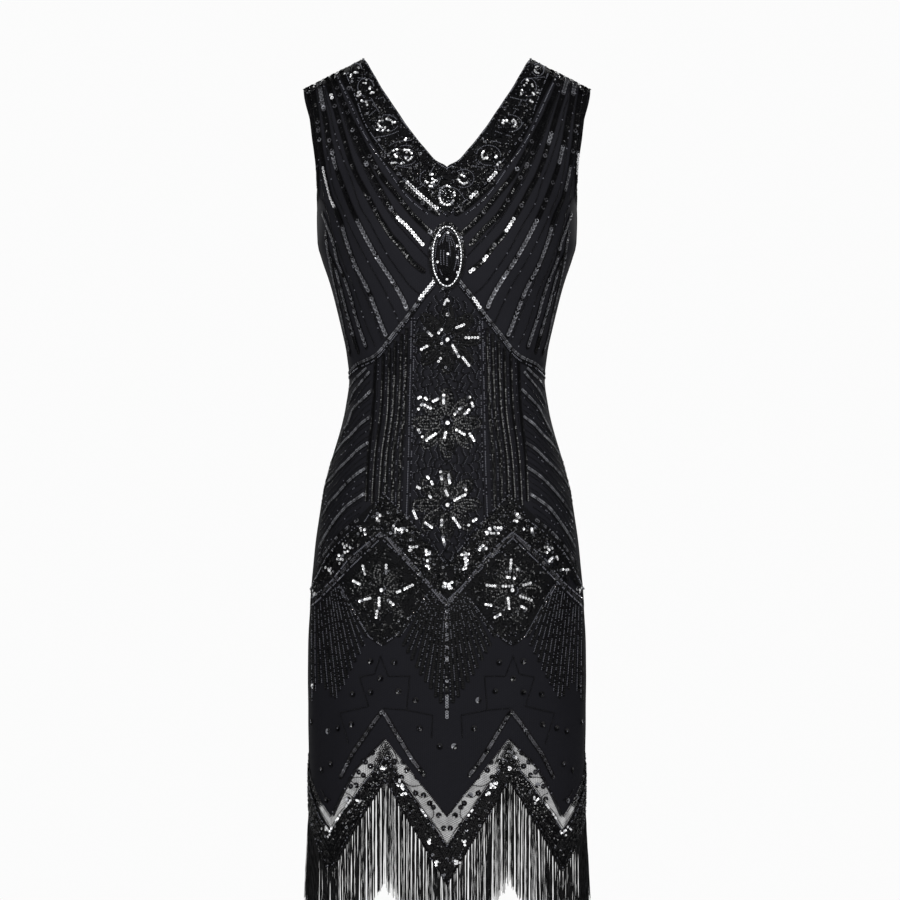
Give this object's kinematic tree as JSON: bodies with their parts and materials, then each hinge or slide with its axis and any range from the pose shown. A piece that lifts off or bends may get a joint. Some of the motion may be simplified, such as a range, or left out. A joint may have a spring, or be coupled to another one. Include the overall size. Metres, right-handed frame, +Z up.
{
  "type": "sequin fringe dress",
  "caption": "Sleeveless sheath dress of beaded black net with V necks, beaded bands, a zigzag hem and hanging fringe, hollow and filled out as it is worn.",
  "frame": {"origin": "midway between the shoulders, at the middle height of the shoulder seams and in the plane of the seams, where the wearer holds the dress up", "axes": "+Z up along the length of the dress, -Y to the front of the dress, +X to the viewer's right when the front is seen"},
  "size_m": [0.342, 0.245, 1.1222],
  "materials": {
    "black_net": "matt net, see-through where no lining backs it",
    "black_satin": "smooth, low sheen",
    "jet_beads": "glossy black sequins and seed beads",
    "silver_bugles": "glossy silver-lined tube beads",
    "fringe_thread": "twisted rayon with a low sheen"
  },
  "bodies": {
    "root": {"front": "black_net", "back": "black_net", "lining_front": "black_satin", "lining_back": "black_satin", "neck_band_front": "jet_beads", "neck_band_back": "jet_beads", "girdle_front": "jet_beads", "girdle_back": "jet_beads", "hem_band_front": "jet_beads", "hem_band_back": "jet_beads", "fringe_front": "fringe_thread", "fringe_back": "fringe_thread", "pendant": "silver_bugles"}
  },
  "joints": []
}
